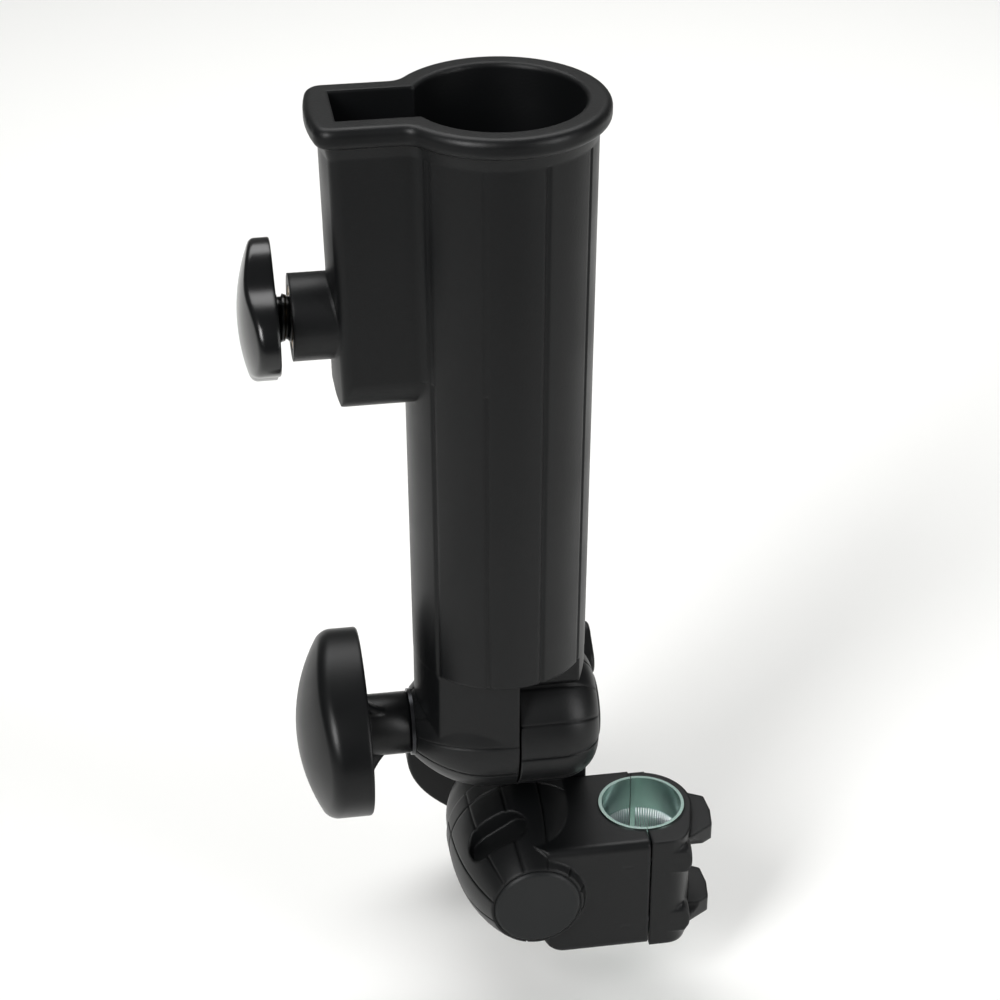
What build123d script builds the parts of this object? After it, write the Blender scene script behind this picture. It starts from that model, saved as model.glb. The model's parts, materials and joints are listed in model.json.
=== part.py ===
from build123d import *
import os
from math import cos, hypot, pi, radians, sin, sqrt, tan

# Rod holder: keyhole tube on a two-joint bracket with a split rail clamp. Millimetres.
# Origin: middle of the rail bore. +Z along the bore, +X from the tube to the clamp cap,
# -Y the front. Tilt joint axis is parallel to X, swing joint axis is parallel to Y.

# ---- rail clamp ----------------------------------------------------------------------
RAIL_R = 12.7                # rail that the clamp takes
SLEEVE_WALL = 1.0
SLEEVE_PROUD = 0.4           # sleeve stands this far above the clamp
SLEEVE_GAP = 0.3
CLAMP_H = 41.4               # clamp height along the rail
SPLIT_X, SPLIT_GAP = -0.8, 0.6
FRONT_WALL, BACK_WALL, COLLAR_WALL = 7.0, 3.2, 2.4
BRIDGE_EDGE_R, BRIDGE_CORNER_R = 2.5, 14.0
LUG_TIP_X, LUG_T, LUG_Z, LUG_CORNER_R = 22.0, 5.6, 14.8, 1.2
SCREW_BOSS_R, SCREW_BOSS_X, SCREW_BOSS_BEVEL = 6.0, 12.5, 1.5
EAR_OUT_Y, EAR_X, EAR_TOP, EAR_BOTTOM, EAR_R = 23.2, 6.0, 4.0, 3.0, 3.0

SCREW4_R, SCREW4_HEAD_R, SCREW4_HEAD_T = 2.0, 3.5, 4.0
SCREW4_SOCKET_AF, SCREW4_SOCKET_T = 3.0, 2.0
FRONT_SCREW_Y, REAR_SCREW_Y, SCREW4_Z = -16.2, 19.2, 12.0
FRONT_SEAT_X, FRONT_TIP_X, REAR_TIP_X = 6.4, -12.0, -8.6
NUT4_AF, NUT4_T, FRONT_NUT_X = 7.0, 3.2, -9.7

# ---- swing joint, on the clamp ---------------------------------------------------------
SWING_X, SWING_Z = -37.5, 2.5
SWING_R, SWING_RIM = 23.3, 6.0   # cone-shaped joint half and its straight rim
SWING_CAP_Y = -23.4              # flat nose of the joint half
NOSE_CAP_R, NOSE_CAP_PROUD = 13.65, 0.8
CAP_DEPTH, CAP_EDGE = 2.0, 0.8   # how far a nose cap is let in, and its bevel
NOSE_WALL = 0.9
POCKET_Y, POCKET_ANGLE = -7.0, 57.0   # obround pocket in the cone
POCKET_LEN, POCKET_W, POCKET_FLOOR_R = 21.0, 11.5, 16.8

# ---- tilt joint, under the tube --------------------------------------------------------
TILT_Y, TILT_Z = 7.5, 55.9
JOINT_R = 22.4               # tilt joint, and elbow side of the swing joint
SEAM_X, SEAM_GAP = -41.7, 0.7
TILT_END_X = -15.4           # right-hand end of the tilt joint
TILT_RIM = 12.5              # straight part of the right-hand half
TILT_CAP_R, TILT_CAP_PROUD = 11.0, 0.9
LEFT_LEN, REAR_LEN = 30.2, 25.0   # knob-side halves: seam to washer face
BELL_RIM = 5.0
NECK_X, NECK_EDGE_R, NECK_DEPTH = -14.4, 2.0, 15.0
STOP_R, STOP_REACH, STOP_LEN, STOP_ANGLE = 5.0, 23.0, 7.5, 34.5   # ear that stops the backward tilt
STOP_DEPTH, STOP_OUT, STOP_EDGE_R = 2.6, 2.5, 1.2
SADDLE_ANGLE, SADDLE_GAP = 36.0, 0.7
PANEL_COUNT, PANEL_W, PANEL_D = 12, 0.7, 0.45    # lines moulded along the joint halves
SWING_PANEL_TURN, TILT_PANEL_TURN, SWING_RING_Y = 17.0, 7.0, 10.0

SPRING_R, SPRING_WIRE, SPRING_LEN, SPRING_TURNS = 6.7, 0.7, 6.6, 2.5
SPRING_POCKET_R, SPRING_POCKET_D, SPRING_SEAT_D = 8.3, 5.0, 3.0
TOOTH_COUNT, TOOTH_H, TOOTH_W = 24, 1.3, 2.2     # locking teeth of both joints
TOOTH_R_IN, TOOTH_R_OUT, RECESS_R_IN, RECESS_R_OUT = 10.5, 18.5, 10.0, 19.0

# ---- keyhole tube ----------------------------------------------------------------------
TUBE_X, TUBE_FLOOR_Z, TUBE_TOP_Z = -45.0, 83.7, 262.2
TUBE_R_TOP, TUBE_R_BOTTOM, BORE_R = 27.9, 26.4, 24.2
FLOOR_T = 3.0
RIM_OUT, RIM_H, RIM_EDGE_R = 3.3, 6.2, 2.3       # bead round the mouth
FLARE_H, FLARE_OUT = 4.0, 1.5                    # slope under the bead
MOUTH_BEVEL = 0.8
LINE_COUNT, LINE_START, LINE_W, LINE_D = 10, -70.0, 0.9, 0.35
DRAIN_R, DRAIN_X, DRAIN_Y = 2.5, 12.0, -17.0

CHANNEL_W, SLOT_W = 28.0, 21.4
CHANNEL_X_TOP, CHANNEL_X_BOTTOM = -94.9, -92.9
CHANNEL_BULGE, CHANNEL_CORNER_R = 2.2, 3.2       # bow and corners of the end wall
CHANNEL_ROOT_R = 5.0                             # hollow where the channel meets the tube
CHANNEL_BOTTOM_Z, CHANNEL_FOOT_R, CHANNEL_TOE_R = 173.0, 10.5, 6.0
SLOT_END_X, SLOT_FLOOR_Z = -90.7, 180.5
BOSS_R, BOSS_Z, BOSS_END_X, BOSS_ROOT_R = 12.5, 199.6, -104.4, 4.0

SCREW_R, SCREW_CLEAR = 7.0, 0.5
INSERT_R, INSERT_LEN, INSERT_SUNK = 9.2, 12.0, 0.2
PAD_R, PAD_T, PAD_REST_X, FACING_T, FACING_STEP = 9.0, 4.0, -84.0, 1.5, 0.5
STUD_TIP_R, STUD_TIP_LEN, STUD_GAP = 3.5, 3.0, 0.2
ROD_KNOB_X, ROD_KNOB_R, ROD_KNOB_SCALLOP = -108.6, 23.0, 7.0
ROD_KNOB_EDGE, ROD_KNOB_CROWN, ROD_KNOB_BORE = 5.5, 10.6, 5.0

# ---- joint bolts and hand knobs --------------------------------------------------------
BOLT_R = 5.0
HEAD_AF, HEAD_T, HEAD_SUNK = 16.0, 6.4, 0.2
BOLT_GRIP = 6.0              # bolt end beyond the hub
WASHER_R, WASHER_T, WASHER_GAP = 10.4, 1.2, 0.1
HUB_R, HUB_LEN = 9.7, 14.0
KNOB_R, KNOB_SCALLOP, KNOB_EDGE, KNOB_CROWN = 31.0, 3.4, 11.0, 21.0
WEB_T, WEB_RISE, WEB_REACH = 2.2, 6.5, 10.0
BUSH_WALL, BUSH_LEN, BUSH_SUNK = 2.5, 7.0, 0.6
LOBE_UP = -59.0              # a lobe points up and back, so another faces the front

RUN = 0.05                   # radial clearance of a running fit
CLEAR = 0.3                  # radial clearance of a bolt in its hole
OVER = 1.0                   # how far a cutter runs past what it cuts

SLEEVE_R = RAIL_R + SLEEVE_WALL
HALF_H = CLAMP_H / 2
FRONT_Y = -(SLEEVE_R + FRONT_WALL)
BACK_Y = SLEEVE_R + BACK_WALL
COLLAR_R = SLEEVE_R + COLLAR_WALL
BODY_FACE_X = SPLIT_X - SPLIT_GAP / 2
CAP_FACE_X = SPLIT_X + SPLIT_GAP / 2
LEFT_SEAM_X = SEAM_X - SEAM_GAP / 2
RIGHT_SEAM_X = SEAM_X + SEAM_GAP / 2
REAR_SEAM_Y = BACK_Y + SEAM_GAP
LEFT_END_X = LEFT_SEAM_X - LEFT_LEN
REAR_END_Y = REAR_SEAM_Y + REAR_LEN
BELL_END_R = HUB_R + 1.2
TUBE_H = TUBE_TOP_Z - TUBE_FLOOR_Z
TUBE_LEAN = (TUBE_R_TOP - TUBE_R_BOTTOM) / TUBE_H
BUSH_R = BOLT_R + BUSH_WALL
FROM_BASE = (Align.CENTER, Align.CENTER, Align.MIN)


# ---- helpers -------------------------------------------------------------------------
def rod_x(x0, x1, r, y=TILT_Y, z=TILT_Z):
    """Cylinder along X from x0 to x1."""
    return plane_x(min(x0, x1), y, z) * Rot(0, 90, 0) * Cylinder(r, abs(x1 - x0), align=FROM_BASE)


def rod_y(y0, y1, r, x=SWING_X, z=SWING_Z):
    """Cylinder along Y from y0 to y1."""
    base = Plane((x, min(y0, y1), z), x_dir=(1, 0, 0), z_dir=(0, 1, 0))
    return base * Cylinder(r, abs(y1 - y0), align=FROM_BASE)


def rod_z(z0, z1, r, x=0.0, y=0.0):
    """Cylinder along Z from z0 to z1."""
    return Pos(x, y, z0) * Cylinder(r, z1 - z0, align=FROM_BASE)


def block(x0, x1, y0, y1, z0, z1):
    """Box between two corners."""
    return Pos((x0 + x1) / 2, (y0 + y1) / 2, (z0 + z1) / 2) * Box(x1 - x0, y1 - y0, z1 - z0)


def plan(points, z0, z1):
    """Straight-sided outline in XY, raised from z0 to z1."""
    face = make_face(Polyline(*points, close=True))
    return Pos(0, 0, z0) * extrude(face, z1 - z0)


def plane_x(x, y=TILT_Y, z=TILT_Z, way=1):
    """Plane whose own X runs along the tilt axis (way = 1 for +X, -1 for -X)."""
    return Plane((x, y, z), x_dir=(way, 0, 0), z_dir=(0, way, 0))


def plane_y(y, way=1):
    """Plane whose own X runs along the swing axis (way = 1 for +Y, -1 for -Y)."""
    return Plane((SWING_X, y, SWING_Z), x_dir=(0, way, 0), z_dir=(way, 0, 0))


def facing_x(x, way, y=TILT_Y, z=TILT_Z):
    """Plane across the X axis that faces +X (way = 1) or -X (way = -1)."""
    return Plane((x, y, z), x_dir=(0, 1, 0), z_dir=(way, 0, 0))


def facing_y(y, way, x=SWING_X, z=SWING_Z):
    """Plane across the Y axis that faces +Y (way = 1) or -Y (way = -1)."""
    return Plane((x, y, z), x_dir=(1, 0, 0), z_dir=(0, way, 0))


def turned(plane, edges):
    """Solid of revolution about the plane's own X axis."""
    return revolve(plane * make_face(edges), Axis(plane.origin, plane.x_dir))


def bell(plane, length, rim, r0, r1, inset=0.0):
    """Joint half: a straight rim of radius r0, then a curve that narrows to r1."""
    span = length - rim
    r0, r1 = r0 - inset, r1 - inset
    curve = Bezier((rim, r0), (rim + 0.3 * span, r0), (rim + 0.66 * span, r0 - 0.18 * (r0 - r1)), (length, r1))
    return turned(plane, [
        Line((0, 0), (length, 0)),
        Line((length, 0), (length, r1)),
        curve,
        Line((rim, r0), (0, r0)),
        Line((0, r0), (0, 0)),
    ])


def dome(plane, length, rim, r0, r1, inset=0.0):
    """Joint half with a full elliptic shoulder."""
    r0, r1 = r0 - inset, r1 - inset
    curve = EllipticalCenterArc((rim, r1), length - rim, r0 - r1, start_angle=0, arc_size=90)
    return turned(plane, [
        Line((0, 0), (length, 0)),
        Line((length, 0), (length, r1)),
        curve,
        Line((rim, r0), (0, r0)),
        Line((0, r0), (0, 0)),
    ])


def panel_lines(plane, length, reach, core, turn):
    """Thin slabs through the axis, less the core: what is left cuts shallow lines along a joint half."""
    cutter = []
    for i in range(PANEL_COUNT):
        slab = Pos(length / 2, 0, reach / 2 + TOOTH_R_IN / 2) * Box(length, PANEL_W, reach - TOOTH_R_IN)
        cutter.append(plane * Rot(turn + i * 360 / PANEL_COUNT, 0, 0) * slab - core)
    return cutter


def keyhole(r, half_w, x_end, corner_r):
    """Keyhole outline about the tube: circle, hollow roots, straight sides and a bowed end wall."""
    root_y = half_w + CHANNEL_ROOT_R
    root_x = -sqrt((r + CHANNEL_ROOT_R) ** 2 - root_y ** 2)
    on_circle = (root_x * r / (r + CHANNEL_ROOT_R), root_y * r / (r + CHANNEL_ROOT_R))
    toward = (on_circle[0] - root_x, on_circle[1] - root_y - CHANNEL_ROOT_R)
    size = hypot(*toward)
    mid = (root_x + CHANNEL_ROOT_R * toward[0] / size, root_y + CHANNEL_ROOT_R * toward[1] / size)
    end = x_end - TUBE_X
    corner = end + CHANNEL_BULGE

    def both(a, b):
        return [Line(a, b), Line((a[0], -a[1]), (b[0], -b[1]))]

    def both_arcs(a, b, c):
        return [ThreePointArc(a, b, c), ThreePointArc(*((p[0], -p[1]) for p in (a, b, c)))]

    edges = [ThreePointArc((on_circle[0], -on_circle[1]), (r, 0), on_circle)]
    edges += both_arcs(on_circle, mid, (root_x, half_w))
    edges += both((root_x, half_w), (corner, half_w))
    edges.append(ThreePointArc((corner, half_w), (end, 0), (corner, -half_w)))
    face = make_face(edges)
    tips = face.vertices().group_by(Axis.X)[0]
    return fillet(tips, corner_r)


def hexagon(plane, across_flats, length):
    """Hexagonal prism from the plane, along its normal."""
    return extrude(plane * RegularPolygon(across_flats / 2, 6, major_radius=False), length)


def tooth_ring(plane):
    """Radial locking teeth standing on the plane, whose normal is the joint axis."""
    outline = Polyline((-TOOTH_W / 2, 0), (TOOTH_W / 2, 0), (0, TOOTH_H), close=True)
    base = Plane((TOOTH_R_IN, 0, 0), x_dir=(0, 1, 0), z_dir=(1, 0, 0))
    tooth = base * extrude(make_face(outline), TOOTH_R_OUT - TOOTH_R_IN)
    return [plane * Rot(0, 0, i * 360 / TOOTH_COUNT) * tooth for i in range(TOOTH_COUNT)]


def lobed_outline(r, scallop, turn):
    """Smooth three-lobed closed outline."""
    count = 24
    points = []
    for i in range(count):
        a = 2 * pi * i / count
        radius = r - scallop * (1 - cos(3 * a)) / 2
        points.append((radius * cos(a + turn), radius * sin(a + turn)))
    return make_face(Spline(*points, periodic=True))


def lobed_knob(plane, r, scallop, edge, crown, turn):
    """Three-lobed knob head standing on the plane: flat back, domed top."""
    prism = extrude(plane * lobed_outline(r, scallop, turn), crown)
    rise = crown - edge
    ball = (r * r + rise * rise) / (2 * rise)
    return prism & plane * Pos(0, 0, crown - ball) * Sphere(ball)


# ---- rail clamp ----------------------------------------------------------------------
def clamp_screw_places():
    """Centres (y, z) of the four clamp screws."""
    return [(y, z) for y in (FRONT_SCREW_Y, REAR_SCREW_Y) for z in (SCREW4_Z, -SCREW4_Z)]


def make_ear(x0, x1, y0):
    """Ear behind the rail that takes the rear clamp screws."""
    ear = block(x0, x1, y0, EAR_OUT_Y, -HALF_H + EAR_BOTTOM, HALF_H - EAR_TOP)
    return fillet(ear.edges().filter_by(Axis.X).group_by(Axis.Y)[-1], EAR_R)


def make_pocket():
    """Obround cutter that enters the cone of the swing joint from outside."""
    a = radians(POCKET_ANGLE)
    out = (-cos(a), 0, sin(a))
    along = (sin(a), 0, cos(a))
    base = Plane((SWING_X + POCKET_FLOOR_R * out[0], POCKET_Y, SWING_Z + POCKET_FLOOR_R * out[2]),
                 x_dir=along, z_dir=out)
    straight = POCKET_LEN - POCKET_W
    return extrude(base * SlotCenterToCenter(straight, POCKET_W), SWING_R - POCKET_FLOOR_R + OVER)


def make_clamp_body():
    length = BACK_Y - SWING_CAP_Y
    nose_r = NOSE_CAP_R + NOSE_WALL
    disc = bell(plane_y(BACK_Y, -1), length, SWING_RIM, SWING_R, nose_r)
    core = bell(plane_y(BACK_Y, -1), length, SWING_RIM, SWING_R, nose_r, PANEL_D)
    disc -= panel_lines(plane_y(BACK_Y, -1), length, SWING_R + OVER, core, SWING_PANEL_TURN)
    ring_y = SWING_RING_Y - PANEL_W / 2
    disc -= rod_y(ring_y, ring_y + PANEL_W, SWING_R + OVER) - rod_y(ring_y, ring_y + PANEL_W, SWING_R - PANEL_D)
    disc -= make_pocket()
    side = [(SWING_X, FRONT_Y + 4.2), (SWING_X + 4.5, FRONT_Y), (BODY_FACE_X, FRONT_Y),
            (BODY_FACE_X, BACK_Y), (SWING_X, BACK_Y)]
    bridge = plan(side, -HALF_H, HALF_H)
    bridge = fillet(bridge.edges().filter_by(Axis.X).group_by(Axis.Y)[0], BRIDGE_EDGE_R)
    envelope = block(SWING_X, 0, FRONT_Y - OVER, BACK_Y + OVER, -HALF_H, HALF_H)
    low_corner = envelope.edges().filter_by(Axis.Y).group_by(Axis.X)[0].sort_by(Axis.Z)[0]
    bridge &= fillet(low_corner, BRIDGE_CORNER_R)
    body = disc + bridge + make_ear(BODY_FACE_X - EAR_X, BODY_FACE_X, BACK_Y - 2 * OVER)
    body -= rod_z(-HALF_H - OVER, HALF_H + OVER, SLEEVE_R + RUN)
    # bolt hole, hexagon pocket for the head, and the recess for the nose cap
    body -= rod_y(SWING_CAP_Y - OVER, BACK_Y + OVER, BOLT_R + RUN)
    head_end = CAP_DEPTH + HEAD_SUNK + HEAD_T
    body -= hexagon(facing_y(SWING_CAP_Y, 1), HEAD_AF + 2 * RUN, head_end)
    body -= rod_y(SWING_CAP_Y - OVER, SWING_CAP_Y + CAP_DEPTH, NOSE_CAP_R + RUN)
    # spring pocket and the toothed ring in the joint face
    body -= rod_y(BACK_Y - SPRING_POCKET_D, BACK_Y + OVER, SPRING_POCKET_R)
    body -= rod_y(BACK_Y - TOOTH_H, BACK_Y + OVER, RECESS_R_OUT) - rod_y(0, BACK_Y + OVER, RECESS_R_IN)
    body += tooth_ring(facing_y(BACK_Y - TOOTH_H, 1))
    for y, z in clamp_screw_places():
        tip = FRONT_TIP_X if y < 0 else REAR_TIP_X
        body -= rod_x(tip - OVER, 0, SCREW4_R + CLEAR, y, z)
        body -= hexagon(nut_plane(y, z), NUT4_AF + RUN, NUT4_T + 2 * RUN)
    return body


def make_clamp_cap():
    outline = [
        Line((CAP_FACE_X, FRONT_Y), (5.0, FRONT_Y)),
        Spline((5.0, FRONT_Y), (11.6, -16.8), (COLLAR_R - 0.7, -4.5), tangents=[(1, 0), (0.28, 1)]),
        ThreePointArc((COLLAR_R - 0.7, -4.5), (COLLAR_R * cos(0.7), COLLAR_R * sin(0.7)), (CAP_FACE_X, COLLAR_R)),
        Line((CAP_FACE_X, COLLAR_R), (CAP_FACE_X, FRONT_Y)),
    ]
    cap = Pos(0, 0, -HALF_H) * extrude(make_face(outline), CLAMP_H)
    for z in (LUG_Z, -LUG_Z):
        tip = [(2.0, FRONT_Y + 0.6), (6.5, FRONT_Y + 1.0), (LUG_TIP_X - 1.0, -10.2), (LUG_TIP_X, -3.0),
               (LUG_TIP_X - 0.6, 4.3), (14.0, 8.4), (2.0, 8.4)]
        lug = plan(tip, z - LUG_T / 2, z + LUG_T / 2)
        cap += fillet(lug.edges().filter_by(Axis.Z).group_by(Axis.X)[-3:], LUG_CORNER_R)
    for z in (SCREW4_Z, -SCREW4_Z):
        reach = SCREW_BOSS_X - CAP_FACE_X
        outline = [(0, 0), (0, SCREW_BOSS_R), (reach - SCREW_BOSS_BEVEL, SCREW_BOSS_R),
                   (reach, SCREW_BOSS_R - SCREW_BOSS_BEVEL), (reach, 0)]
        boss = turned(plane_x(CAP_FACE_X, FRONT_SCREW_Y, z), Polyline(*outline, close=True))
        cap += boss & block(CAP_FACE_X, SCREW_BOSS_X, FRONT_Y, 0, -HALF_H, HALF_H)
    cap += make_ear(CAP_FACE_X, CAP_FACE_X + EAR_X, COLLAR_R - 4 * OVER)
    cap -= rod_z(-HALF_H - OVER, HALF_H + OVER, SLEEVE_R + RUN)
    for y, z in clamp_screw_places():
        cap -= rod_x(CAP_FACE_X - OVER, LUG_TIP_X + OVER, SCREW4_R + CLEAR, y, z)
        cap -= rod_x(screw_seat(y), LUG_TIP_X + OVER, SCREW4_HEAD_R + CLEAR, y, z)
    return cap


def screw_seat(y):
    """X of the face under a clamp screw's head."""
    return FRONT_SEAT_X if y < 0 else CAP_FACE_X + EAR_X


def make_sleeve(side):
    """Half of the rail sleeve: side -1 sits in the body, +1 in the cap."""
    tube = rod_z(-HALF_H, HALF_H + SLEEVE_PROUD, SLEEVE_R) - rod_z(-HALF_H - OVER, HALF_H + OVER, RAIL_R)
    edge = SPLIT_X + side * SLEEVE_GAP / 2
    reach = 2 * SLEEVE_R
    if side < 0:
        return tube & block(edge - reach, edge, -reach, reach, -CLAMP_H, CLAMP_H)
    return tube & block(edge, edge + reach, -reach, reach, -CLAMP_H, CLAMP_H)


def nut_plane(y, z):
    """Plane on which a captive nut stands; its normal is the screw's axis."""
    return facing_x(FRONT_NUT_X if y < 0 else BODY_FACE_X - EAR_X, 1, y, z)


def make_clamp_screw(y, z):
    seat = screw_seat(y)
    tip = FRONT_TIP_X if y < 0 else REAR_TIP_X
    screw = rod_x(tip, seat, SCREW4_R, y, z) + rod_x(seat, seat + SCREW4_HEAD_T, SCREW4_HEAD_R, y, z)
    return screw - hexagon(facing_x(seat + SCREW4_HEAD_T, -1, y, z), SCREW4_SOCKET_AF, SCREW4_SOCKET_T)


def make_clamp_nut(y, z):
    nut = hexagon(nut_plane(y, z), NUT4_AF, NUT4_T)
    return nut - rod_x(FRONT_TIP_X, 0, SCREW4_R + RUN, y, z)


# ---- joint hardware ------------------------------------------------------------------
def make_tilt_bolt():
    head_x = TILT_END_X - CAP_DEPTH - HEAD_SUNK - HEAD_T
    shank = rod_x(LEFT_END_X - WASHER_T - HUB_LEN - BOLT_GRIP, head_x, BOLT_R)
    return hexagon(facing_x(head_x, 1), HEAD_AF, HEAD_T) + shank


def make_swing_bolt():
    head_y = SWING_CAP_Y + CAP_DEPTH + HEAD_SUNK
    shank = rod_y(head_y + HEAD_T, REAR_END_Y + WASHER_T + HUB_LEN + BOLT_GRIP, BOLT_R)
    return hexagon(facing_y(head_y, 1), HEAD_AF, HEAD_T) + shank


def make_nose_cap(plane, r, proud):
    """Round flat cap pressed into the nose of a joint; the plane's own X points out of the nose."""
    outline = [(-CAP_DEPTH, 0), (-CAP_DEPTH, r), (proud - CAP_EDGE, r), (proud, r - CAP_EDGE), (proud, 0)]
    return turned(plane, Polyline(*outline, close=True))


def make_spring(plane):
    """Compression spring that stands on the plane along its normal."""
    path = Helix(pitch=SPRING_LEN / SPRING_TURNS, height=SPRING_LEN, radius=SPRING_R)
    start = Plane(origin=path @ 0, z_dir=path % 0)
    return plane * sweep(start * Circle(SPRING_WIRE), path=path)


def make_hand_knob(plane, turn):
    """Large three-lobed knob with its hub; the plane's normal points from hub to crown."""
    knob = lobed_knob(plane * Pos(0, 0, HUB_LEN), KNOB_R, KNOB_SCALLOP, KNOB_EDGE, KNOB_CROWN, radians(turn))
    knob += plane * Cylinder(HUB_R, HUB_LEN + OVER, align=FROM_BASE)
    inner = HUB_R - OVER
    web = make_face(Polyline((inner, HUB_LEN), (inner, HUB_LEN - WEB_RISE), (HUB_R, HUB_LEN - WEB_RISE),
                             (HUB_R + WEB_REACH, HUB_LEN), close=True))
    web = Plane((0, WEB_T / 2, 0), x_dir=(1, 0, 0), z_dir=(0, -1, 0)) * extrude(web, WEB_T)
    for i in range(3):
        knob += plane * Rot(0, 0, 60 + i * 120 + turn) * web
    return knob - plane * Pos(0, 0, -OVER) * Cylinder(BUSH_R, HUB_LEN + BUSH_LEN + 2 * OVER, align=FROM_BASE)


def make_knob_insert(plane):
    """Threaded bush moulded into a hand knob."""
    bush = Cylinder(BUSH_R, HUB_LEN + BUSH_LEN, align=FROM_BASE)
    hole = Cylinder(BOLT_R + RUN, HUB_LEN + BUSH_LEN + OVER, align=FROM_BASE)
    return plane * Pos(0, 0, BUSH_SUNK) * bush - plane * hole


def make_washer(plane):
    ring = Cylinder(WASHER_R, WASHER_T - WASHER_GAP, align=FROM_BASE)
    hole = Cylinder(BOLT_R + CLEAR, WASHER_T + 2 * OVER, align=FROM_BASE)
    return plane * Pos(0, 0, WASHER_GAP) * ring - plane * Pos(0, 0, -OVER) * hole


# ---- elbow ---------------------------------------------------------------------------
def make_elbow():
    span = TILT_END_X - RIGHT_SEAM_X
    nose_r = TILT_CAP_R + NOSE_WALL
    upper = dome(plane_x(RIGHT_SEAM_X), span, TILT_RIM, JOINT_R, nose_r)
    core = dome(plane_x(RIGHT_SEAM_X), span, TILT_RIM, JOINT_R, nose_r, PANEL_D)
    upper -= panel_lines(plane_x(RIGHT_SEAM_X), span, JOINT_R + OVER, core, TILT_PANEL_TURN)
    lower = bell(plane_y(REAR_SEAM_Y), REAR_LEN, BELL_RIM, JOINT_R, BELL_END_R)
    side = [(REAR_SEAM_Y, SWING_Z), (REAR_SEAM_Y, 30.0), (11.0, 35.5), (TILT_Y, TILT_Z - 10), (TILT_Y, TILT_Z),
            (TILT_Y + JOINT_R - 0.2, TILT_Z), (TILT_Y + JOINT_R, TILT_Z - 8),
            (REAR_SEAM_Y + NECK_DEPTH, 20.0), (REAR_SEAM_Y + NECK_DEPTH, SWING_Z)]
    face = facing_x(RIGHT_SEAM_X, 1, 0, 0) * make_face(Polyline(*side, close=True))
    neck = extrude(face, NECK_X - RIGHT_SEAM_X)
    neck = fillet(neck.edges().filter_by(Axis.Z).group_by(Axis.X)[-1], NECK_EDGE_R)
    elbow = upper + lower + neck
    # ear beside the tube that stops the backward tilt
    stop_plane = facing_x(TILT_END_X - STOP_DEPTH, 1) * Rot(0, 0, STOP_ANGLE) * Pos(STOP_REACH - STOP_LEN / 2, 0, 0)
    stop = extrude(stop_plane * SlotCenterToCenter(STOP_LEN, 2 * STOP_R), STOP_DEPTH + STOP_OUT)
    elbow += fillet(stop.edges().group_by(Axis.X)[-1], STOP_EDGE_R)
    # bolt holes, head pocket, cap recess
    elbow -= rod_x(RIGHT_SEAM_X - OVER, TILT_END_X + OVER, BOLT_R + RUN)
    head_x = TILT_END_X - CAP_DEPTH - HEAD_SUNK - HEAD_T
    elbow -= hexagon(facing_x(head_x, 1), HEAD_AF + 2 * RUN, TILT_END_X - head_x)
    elbow -= rod_x(TILT_END_X - CAP_DEPTH, TILT_END_X + OVER, TILT_CAP_R + RUN)
    elbow -= rod_y(REAR_SEAM_Y - OVER, REAR_END_Y + OVER, BOLT_R + CLEAR)
    # spring pockets and toothed rings
    seam = RIGHT_SEAM_X - OVER
    elbow -= rod_x(seam, RIGHT_SEAM_X + SPRING_POCKET_D, SPRING_POCKET_R)
    elbow -= rod_x(seam, RIGHT_SEAM_X + TOOTH_H, RECESS_R_OUT) - rod_x(seam, 0, RECESS_R_IN)
    elbow += tooth_ring(facing_x(RIGHT_SEAM_X + TOOTH_H, -1))
    seam = REAR_SEAM_Y - OVER
    elbow -= rod_y(seam, REAR_SEAM_Y + SPRING_SEAT_D, SPRING_POCKET_R)
    elbow -= rod_y(seam, REAR_SEAM_Y + TOOTH_H, RECESS_R_OUT) - rod_y(seam, REAR_END_Y, RECESS_R_IN)
    elbow += tooth_ring(facing_y(REAR_SEAM_Y + TOOTH_H, -1))
    return elbow


# ---- keyhole tube --------------------------------------------------------------------
def make_joint_half():
    """Joint half and neck under the tube floor."""
    left = plane_x(LEFT_SEAM_X, way=-1)
    half = bell(left, LEFT_LEN, BELL_RIM, JOINT_R, BELL_END_R)
    core = bell(left, LEFT_LEN, BELL_RIM, JOINT_R, BELL_END_R, PANEL_D)
    half -= panel_lines(left, LEFT_LEN, JOINT_R + OVER, core, TILT_PANEL_TURN)
    column = rod_z(TILT_Z, TUBE_FLOOR_Z + OVER, TUBE_R_BOTTOM - 0.1, TUBE_X, TILT_Y)
    flank = [(LEFT_SEAM_X, JOINT_R - 0.3), (LEFT_SEAM_X - 8, JOINT_R - 0.9), (LEFT_SEAM_X - 16, JOINT_R - 3.2),
             (LEFT_SEAM_X - 24, JOINT_R - 6.4), (LEFT_END_X - 2, JOINT_R - 10.5)]
    front = Spline(*[(x, TILT_Y - w) for x, w in flank])
    back = Spline(*[(x, TILT_Y + w) for x, w in flank])
    face = make_face([front, Line(front @ 1, back @ 1), back, Line(back @ 0, front @ 0)])
    neck = Pos(0, 0, TILT_Z) * extrude(face, TUBE_FLOOR_Z + OVER - TILT_Z)
    saddle_half = JOINT_R * sin(radians(SADDLE_ANGLE))
    saddle = block(LEFT_SEAM_X - 5, TUBE_X + TUBE_R_BOTTOM, TILT_Y - saddle_half, TILT_Y + saddle_half,
                   TILT_Z + 15, TUBE_FLOOR_Z + OVER)
    return half + (neck & column) + (saddle & column)


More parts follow.
